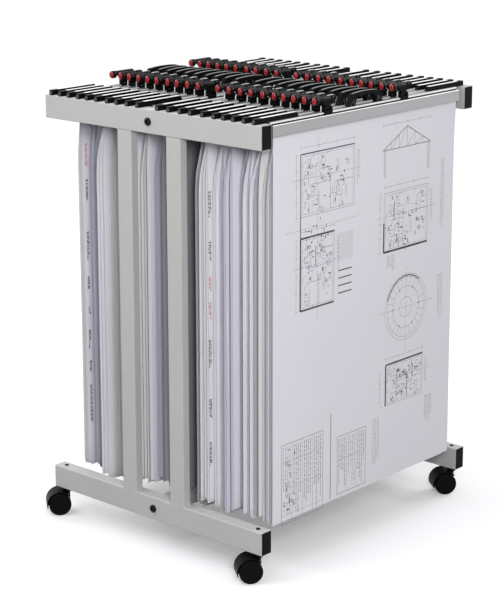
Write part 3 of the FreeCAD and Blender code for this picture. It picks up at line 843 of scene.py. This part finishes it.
@dataclass
class Hang:
    """How one sheet hangs below its jaw: its place across the bundle at each point."""

    layer: float
    lean: float
    wave: float
    seed: float
    own_wave: float
    curls: tuple  # at the front, back and lower edge

    def offset(self, y, z):
        """Distance from the slot's middle. In the jaw it is the layer's, and it grows below."""
        free_depth, loose_depth = 130, 90
        free = smooth((jaw_bottom - z) / free_depth)
        loose = smooth((jaw_bottom - z) / loose_depth)
        ripple = folds(y, z, 34, 600, self.seed + 50)
        own = folds(y, z, 48, 260, self.seed * 40 + self.layer * 7 + 9)
        shared = self.wave * (folds(y, z, 85, 900, self.seed) + 0.4 * ripple)
        front_curl, back_curl, bottom_curl = self.curls
        front = near_edge(y - sheet_low.y, 62)
        back = near_edge(sheet_high.y - y, 60)
        bottom = near_edge(z - sheet_low.z, 90)
        curl = loose * (front_curl * front + back_curl * back) + bottom_curl * bottom
        return self.layer + free * (self.lean + shared + self.own_wave * own) + curl


def sheet_mesh(name, hang, front, back, bottom, paper):
    """A hanging sheet as a thin closed slab, with its columns closer together at both edges."""
    columns, rows = 26, 22
    places = [front + (back - front) * (0.5 - 0.5 * cos(pi * column / columns))
              for column in range(columns + 1)]
    heights = [sheet_top + (bottom - sheet_top) * row / rows for row in range(rows + 1)]
    bm = bmesh.new()
    sides = []
    for side in SIDES:
        face = slot_middle + side * sheet_thickness / 2
        grid = [[bm.verts.new((face + hang.offset(y, z), y, z)) for y in places] for z in heights]
        for upper, lower in zip(grid, grid[1:]):
            for column in range(columns):
                corners = (upper[column], lower[column], lower[column + 1], upper[column + 1])
                bm.faces.new(corners)
        rim = grid[0][:-1] + [line[-1] for line in grid[:-1]]
        rim += grid[-1][:0:-1] + [line[0] for line in grid[:0:-1]]
        sides.append(rim)
    join_rings(bm, *sides)
    return make_mesh(name, bm, paper, 60)


def bundle(number, draws):
    """The sheets of one clamp, left to right, as (hang, front, back, bottom, paper) each."""
    low, high = box_mm(f"sheets_{number:02d}")
    first_pitch, widest = 15, 31
    pitch = clamp_places[number - 1] - clamp_places[number - 2] if number > 1 else first_pitch
    count = 9 + draws.randrange(3)
    spread = min(pitch, widest) * draws.uniform(0.77, 0.87)
    wave = draws.uniform(0.8, 1.8)
    creased_painted_shade = number in CREASED_PAINTED_SHADE
    own_wave = 1.3 if creased_painted_shade else 0.45
    bundle_curl = -7 + 2.2 * sin(number * 0.9)
    bundle_back = -3.3 * (number / LAST) ** 4
    seed = number * 0.4
    layers = high.x - low.x - sheet_thickness
    gaps = [draws.uniform(0.4, 1.8) for _ in range(count - 1)]
    leans = [-spread * sum(gaps[index:]) / sum(gaps) for index in range(count)]
    sheets = []
    for index, lean in enumerate(leans):
        share = index / (count - 1)
        curls = (
            bundle_curl + draws.uniform(-0.7, 0.7),
            bundle_back + draws.uniform(-0.4, 0.4),
            draws.uniform(-0.9, 0.1),
        )
        slip, short = draws.uniform(0, 12), draws.uniform(0, 14)
        paper = draws.choice((PAPER, PAPER, PAPER, WARM_PAPER, COOL_PAPER, GREY_PAPER))
        # the creased bundles' grey and dark papers are painted shade
        if creased_painted_shade:
            paper = draws.choice((GREY_PAPER, GREY_PAPER, SHADE_PAPER, SHADE_PAPER))
        hang = Hang((share - 0.5) * layers, lean, wave, seed, own_wave, curls)
        if number == LAST and index == count - 1:
            hang = Hang(layers / 2, 0.3, 0.5, seed, 0.2, (-0.3, -3.0, -0.5))
            slip = short = 0
        if index == count - 2:
            slip = draws.uniform(0, 3)
        if index == count - 1 and not creased_painted_shade:
            paper = PAPER
        sheets.append((hang, low.y + slip, high.y - slip * 0.3, low.z + short, paper))
    return sheets


def add_sheets():
    """Every clamp's sheets. Some have lines on them, which hang as they do."""
    draws = random.Random(41)
    notes = random.Random(7)
    for number, x in enumerate(clamp_places, 1):
        body = f"clamp_{number:02d}"
        sheets = bundle(number, draws)
        for index, (hang, front, back, bottom, paper) in enumerate(sheets, 1):
            name = f"sheet_{number:02d}_{index}"
            mesh = sheet_mesh(name, hang, front, back, bottom, paper)
            piece = add_piece(name, mesh, body, x, [f"sheets_{number:02d}"])
            drawn = []
            if index == len(sheets):
                drawing = Drawing(hang, front, notes)
                if number == LAST:
                    drawing.whole_sheet()
                elif number in FIRST_DRAWN:
                    drawing.edge_plan()
                elif number in NOTED:
                    drawing.edge_notes()
                drawn = drawing.pieces(f"{name}_lines", body, x)


# ---------------- line drawing


class Drawing:
    """Ink lines on a sheet's right face, in millimetres behind its front edge and below its jaw."""

    def __init__(self, hang, front, draws):
        self.hang = hang
        self.front = front
        self.draws = draws
        self.inks = {word: bmesh.new() for word in INKS}

    def on_sheet(self, across, down):
        y, z = self.front + across, jaw_bottom - down
        proud = sheet_thickness / 2 + 0.12
        return Vector((slot_middle + self.hang.offset(y, z) + proud, y, z))

    def line(self, start, end, width=0.8, tone="fine"):
        """A straight stroke, in short lengths that follow the sheet."""
        longest = 25
        bm = self.inks[tone]
        start, end = Vector(start), Vector(end)
        normal = Vector((start.y - end.y, end.x - start.x)).normalized() * width / 2
        steps = max(1, round((end - start).length / longest))
        pairs = []
        for step in range(steps + 1):
            point = start.lerp(end, step / steps)
            pairs.append([bm.verts.new(self.on_sheet(*(point + normal * s))) for s in (-1, 1)])
        for one, other in zip(pairs, pairs[1:]):
            bm.faces.new((one[0], one[1], other[1], other[0]))

    def path(self, points, width=0.8, tone="fine"):
        for start, end in zip(points, points[1:]):
            self.line(start, end, width, tone)

    def rectangle(self, across, down, wide, high, width=0.8):
        self.path([(across, down), (across + wide, down), (across + wide, down + high),
                   (across, down + high), (across, down)], width)

    def arc(self, across, down, radius, start=0, sweep=360, width=0.7, tone="fine"):
        steps = max(4, round(sweep / 15))
        angles = [radians(start + sweep * i / steps) for i in range(steps + 1)]
        self.path([(across + radius * cos(a), down + radius * sin(a)) for a in angles],
                  width, tone)

    def dashes(self, start, end):
        dash, gap = 9, 4
        start, end = Vector(start), Vector(end)
        length = (end - start).length
        at = 0
        while at < length:
            stop = min(1, (at + dash) / length)
            self.line(start.lerp(end, at / length), start.lerp(end, stop), 0.7)
            at += dash + gap

    def hatch(self, across, down, wide, high, step=6):
        for index in range(1, int((wide + high) / step)):
            run = index * step
            self.line((across + min(run, wide), down + max(0, run - wide)),
                      (across + max(0, run - high), down + min(run, high)), 0.5)

    def dot(self, across, down):
        size = 3.2
        self.line((across - size / 2, down), (across + size / 2, down), size, "dark")

    def notes(self, across, down, lines, length, step=4.5, tone="fine", width=1.0):
        """Columns of uneven dashes, as closely written notes look from afar."""
        for index in range(lines):
            x = across + index * step
            at, stop = down, down + length * self.draws.uniform(0.55, 1)
            while at < stop:
                dash = self.draws.uniform(2, 9)
                self.line((x, at), (x, at + dash), width, tone)
                at += dash + self.draws.uniform(1.5, 3)

    def edge_notes(self):
        """Small marks down the front of a sheet, some of them red."""
        last_down = 740
        down = self.draws.uniform(50, 160)
        while down < last_down:
            tone = "red" if self.draws.random() < 0.2 else "dark"
            length = self.draws.uniform(14, 90)
            self.notes(self.draws.uniform(1.4, 2.6), down, 2, length, 3.4, tone, 2.2)
            down += length + self.draws.uniform(12, 80)

    def edge_plan(self):
        """Plan lines that reach the front of a sheet."""
        for down in (120, 330, 520, 690):
            high = self.draws.uniform(60, 120)
            self.rectangle(5, down, 90, high, 0.9)
            for share in (0.3, 0.45, 0.8):
                self.line((5, down + high * share), (60, down + high * share), 0.9)
            self.dashes((11, down - 24), (11, down + high + 30))
            self.notes(3, down + high + 12, 3, 30, 4, "dark", 1.8)

    def rooms(self, across, down, wide, high, depth=0):
        """Rooms: a rectangle split again and again, with a door and its swing in each wall."""
        draws = self.draws
        deepest, least = 4, 24
        if depth > deepest or min(wide, high) < least or (depth > 1 and draws.random() < 0.22):
            mark = draws.random()
            if mark < 0.35:
                self.arc(across + wide / 2, down + high / 2, min(wide, high) * 0.22)
            elif mark < 0.6:
                self.notes(across + wide * 0.3, down + high * 0.25, 2, high * 0.5)
            elif mark < 0.8:
                self.dot(across + wide / 2, down + high / 2)
            return
        share = draws.uniform(0.36, 0.64)
        door = min(wide, high) * 0.3
        if wide > high:
            cut = across + wide * share
            width, tone = (1.8, "dark") if draws.random() < 0.25 else (0.9, "fine")
            self.line((cut, down + door), (cut, down + high), width, tone)
            self.arc(cut, down + door, door, 180, 90, 0.6)
            self.rooms(across, down, wide * share, high, depth + 1)
            self.rooms(cut, down, wide * (1 - share), high, depth + 1)
        else:
            cut = down + high * share
            self.line((across + door, cut), (across + wide, cut), 0.9)
            self.arc(across + door, cut, door, 180, 90, 0.6)
            self.rooms(across, down, wide, high * share, depth + 1)
            self.rooms(across, cut, wide, high * (1 - share), depth + 1)

    def fixtures(self, across, down, wide, high, count):
        """Small dark strokes and squares, as the fittings and pillars of a plan look from afar."""
        draws = self.draws
        for _ in range(count):
            x, y = across + wide * draws.random(), down + high * draws.random()
            run, rise = draws.choice(((1, 0), (0, 1), (0, 1)))
            length = draws.uniform(2, 9)
            end = x + run * length, y + rise * length
            self.line((x, y), end, draws.uniform(1.1, 2.6), "dark")
            if draws.random() < 0.3:
                self.rectangle(x + 3, y + 2, draws.uniform(4, 9), draws.uniform(4, 12), 0.9)

    def truss(self, across, down, wide, rise):
        """A pitched roof truss on two walls."""
        bays, wall = 6, 5
        middle = across + wide / 2
        foot = down + rise
        roof = [(across, foot), (middle, down), (across + wide, foot), (across, foot)]
        self.path(roof, 1.3, "dark")
        for bay in range(1, bays):
            x = across + wide * bay / bays
            after = x + wide / bays
            self.line((x, foot), (x, down + rise * abs(x - middle) / (wide / 2)))
            if bay < bays - 1:
                self.line((x, foot), (after, down + rise * abs(after - middle) / (wide / 2)))
        for x in (across + 4, across + wide - 9):
            self.rectangle(x, foot, wall, rise * 1.3, 1.1)

    def pavilion(self, across, down, radius):
        """A round pavilion with spokes, a paved ring and pillars."""
        inner, outer, spokes = radius * 0.62, radius * 0.9, 24
        for size in (radius, outer, inner, radius * 0.3):
            self.arc(across, down, size)
        self.arc(across, down, radius * 0.95, 200, 110, 2.4, "dark")
        for spoke in range(spokes):
            angle = radians(360 / spokes * spoke)
            x, y = cos(angle), sin(angle)
            start = across + inner * x, down + inner * y
            self.line(start, (across + outer * x, down + outer * y), 0.6)
            if spoke % 4 == 0:
                self.dot(*start)

    def measures(self, start, end, count=5):
        """A dimension line with end and middle ticks."""
        tick = 4
        start, end = Vector(start), Vector(end)
        self.line(start, end, 0.6)
        across = Vector((start.y - end.y, end.x - start.x)).normalized() * tick
        for index in range(count):
            point = start.lerp(end, index / (count - 1))
            self.line(point - across, point + across, 0.7)

    def schedule(self, across, down, wide, high, columns=4, rows=9):
        """A ruled schedule with dashes in its columns."""
        self.rectangle(across, down, wide, high, 1.1)
        for row in range(2, rows, 3):
            y = down + high * row / rows
            self.line((across, y), (across + wide, y), 0.5)
        for column in range(columns):
            x = across + wide * column / columns
            self.line((x, down), (x, down + high), 0.7)
            tone = self.draws.choice(("dark", "fine"))
            self.notes(x + 6, down + 6, 4, high - 12, wide / columns / 5, tone, 1.3)

    def wing(self, across, down, wide, high):
        """One wing of a plan: walls, rooms, and its measures and notes outside."""
        wall, away = 5, 13
        self.rectangle(across, down, wide, high)
        inside = across + wall, down + wall, wide - 2 * wall, high - 2 * wall
        self.rectangle(*inside, 0.6)
        self.rooms(*inside)
        self.measures((across - away, down), (across - away, down + high))
        self.measures((across, down - away), (across + wide, down - away), 4)
        self.dashes((across - 24, down + high * 0.4), (across + wide + 24, down + high * 0.4))
        self.notes(across + wide + 10, down + 14, 2, high * 0.6)

    def whole_sheet(self):
        """The generic drawing that shows on the last clamp's outermost sheet."""
        self.draws = random.Random(19)
        self.wing(84, 46, 172, 128)
        self.wing(84, 218, 108, 150)
        self.path([(256, 46), (84, 46), (84, 174), (84, 368)], 2.4, "dark")
        self.path([(192, 368), (84, 368), (84, 218), (192, 218)], 3.8, "dark")
        self.fixtures(96, 54, 150, 112, 30)
        self.fixtures(90, 182, 92, 180, 46)
        self.hatch(204, 226, 50, 60)
        self.dashes((138, 18), (138, 392))
        self.dashes((40, 200), (270, 200))
        for row in range(4):
            self.line((206, 306 + 16 * row), (250, 306 + 16 * row), 2.4, "dark")
        self.truss(352, 32, 166, 44)
        self.measures((352, 22), (518, 22))
        self.wing(358, 168, 154, 128)
        self.path([(358, 232), (358, 296), (512, 296)], 4.4, "dark")
        self.fixtures(364, 176, 140, 112, 46)
        self.notes(372, 306, 6, 34)
        self.pavilion(440, 430, 74)
        self.dashes((440, 340), (440, 532))
        self.dashes((346, 430), (540, 430))
        self.wing(372, 548, 132, 92)
        self.path([(372, 640), (372, 548), (504, 548)], 4.0, "dark")
        self.fixtures(378, 554, 120, 80, 44)
        self.notes(352, 560, 3, 90)
        self.notes(516, 650, 6, 60)
        self.schedule(28, 640, 132, 172)
        self.fixtures(34, 648, 40, 150, 30)
        self.schedule(208, 668, 96, 128, 3, 5)
        self.line((186, 610), (186, 800), 1.6, "dark")
        self.notes(330, 660, 5, 120, 5)
        self.notes(560, 120, 3, 160, 5)
        self.notes(556, 380, 4, 110, 5)

    def pieces(self, name, body, x):
        """A piece for each ink that was used."""
        made = []
        for tone, bm in self.inks.items():
            if bm.verts:
                mesh = make_mesh(f"{name}_{tone}", bm, INKS[tone])
                made.append(add_piece(f"{name}_{tone}", mesh, body, x))
            else:
                bm.free()
        return made


# ---------------- stage, light and camera

FLOOR_SIZE = 60
FLOOR_COLOUR = (0.84, 0.84, 0.86, 1)
FLOOR_BOUNCE = (0.14, 0.14, 0.145, 1)
GLOW_NEAR, GLOW_FAR = 0.24, 0.62
GLOW_START, GLOW_END = 0.7, 2.6
WORLD_LEVEL = 0.46
LAMPS = (  # name, place and aim in metres, size in metres, watts
    ("key", (-0.7, -1.4, 2.3), (0, -0.3, 0.6), 1.2, 17.5),
    ("side", (2.55, -2.2, 1.85), (0.3, 0, 0.5), 0.9, 56),
    ("top", (0, -0.1, 2.7), (0, 0, 0.9), 1.4, 6),
    ("back", (0.8, 3.2, 2.0), (0, 0, 0.5), 2.0, 50),
    ("left", (-3.0, -0.4, 1.7), (0, 0, 0.5), 1.6, 28),
)


def white_floor():
    """A floor that looks white, throws little light upwards and still takes a shadow."""
    material = bpy.data.materials.new("white_floor")
    nodes = Nodes(material)
    shader = nodes.tree.nodes["Principled BSDF"]
    shader.inputs["Roughness"].default_value = 0.9
    straight = nodes.straight()
    shade = nodes.new("Mix")
    shade.data_type = "RGBA"
    colours = [entry for entry in shade.inputs if entry.type == "RGBA"]
    colours[0].default_value = FLOOR_BOUNCE
    colours[1].default_value = FLOOR_COLOUR
    nodes.link(straight, shade.inputs["Factor"])
    shade_out = next(entry for entry in shade.outputs if entry.type == "RGBA")
    nodes.link(shade_out, shader.inputs["Base Color"])
    place = nodes.new("TexCoord").outputs["Object"]
    distance = nodes.maths("VectorMath", "LENGTH", place)
    level = nodes.spread(distance, GLOW_NEAR, GLOW_FAR, GLOW_START, GLOW_END)
    glow = nodes.new("Emission")
    nodes.link(nodes.maths("Math", "MULTIPLY", straight, level), glow.inputs["Strength"])
    both = nodes.new("AddShader")
    nodes.link(shader.outputs["BSDF"], both.inputs[0])
    nodes.link(glow.outputs["Emission"], both.inputs[1])
    nodes.link(both.outputs["Shader"], nodes.tree.nodes["Material Output"].inputs["Surface"])
    return material


def add_stage():
    bm = bmesh.new()
    reach = FLOOR_SIZE / MM
    corners = ((-reach, -reach), (reach, -reach), (reach, reach), (-reach, reach))
    bm.faces.new(ring(bm, "Z", 0, corners))
    floor = add_object("floor", make_mesh("floor", bm, white_floor()))


def add_world():
    """A white surround that gives less light than it shows."""
    world = bpy.data.worlds.new("studio")
    bpy.context.scene.world = world
    nodes = Nodes(world)
    background = nodes.tree.nodes["Background"].inputs
    background["Color"].default_value = (1, 1, 1, 1)
    nodes.link(nodes.spread(nodes.straight(), WORLD_LEVEL, 1.0), background["Strength"])


def add_lamps():
    for name, place, aim, size, power in LAMPS:
        data = bpy.data.lights.new(name, "AREA")
        data.shape = "SQUARE"
        data.size = size
        data.energy = power
        lamp = add_object(name, data)
        lamp.location = place
        lamp.rotation_euler = (Vector(aim) - Vector(place)).to_track_quat("-Z", "Y").to_euler()


IMAGE_HEIGHT = 613
SENSOR = 36
FOCAL_PIXELS = 1859.9
CAMERA_AZIMUTH, CAMERA_PITCH, CAMERA_ROLL = 41.621, 12.991, -0.094
CAMERA_PLACE = (2.6361, -3.0068, 1.5500)
CAMERA_SHIFT = -0.12


def add_camera():
    azimuth, pitch = radians(CAMERA_AZIMUTH), radians(CAMERA_PITCH)
    back = Vector((sin(azimuth) * cos(pitch), -cos(azimuth) * cos(pitch), sin(pitch)))
    right = Vector((cos(azimuth), sin(azimuth), 0))
    turned = Matrix.Rotation(radians(CAMERA_ROLL), 3, back)
    facing = Matrix((turned @ right, turned @ back.cross(right), back)).transposed()
    data = bpy.data.cameras.new("camera")
    data.sensor_width = SENSOR
    data.lens = FOCAL_PIXELS * SENSOR / IMAGE_HEIGHT
    data.shift_y = CAMERA_SHIFT
    data.dof.use_dof = False
    camera = add_object("camera", data)
    camera.matrix_world = Matrix.Translation(CAMERA_PLACE) @ facing.to_4x4()
    bpy.context.scene.camera = camera


add_camera()
add_world()
add_lamps()
add_stage()
finish_cad_nodes()
add_weld_beads()
add_clamps()
add_sheets()

bpy.context.scene.view_settings.view_transform = "Standard"
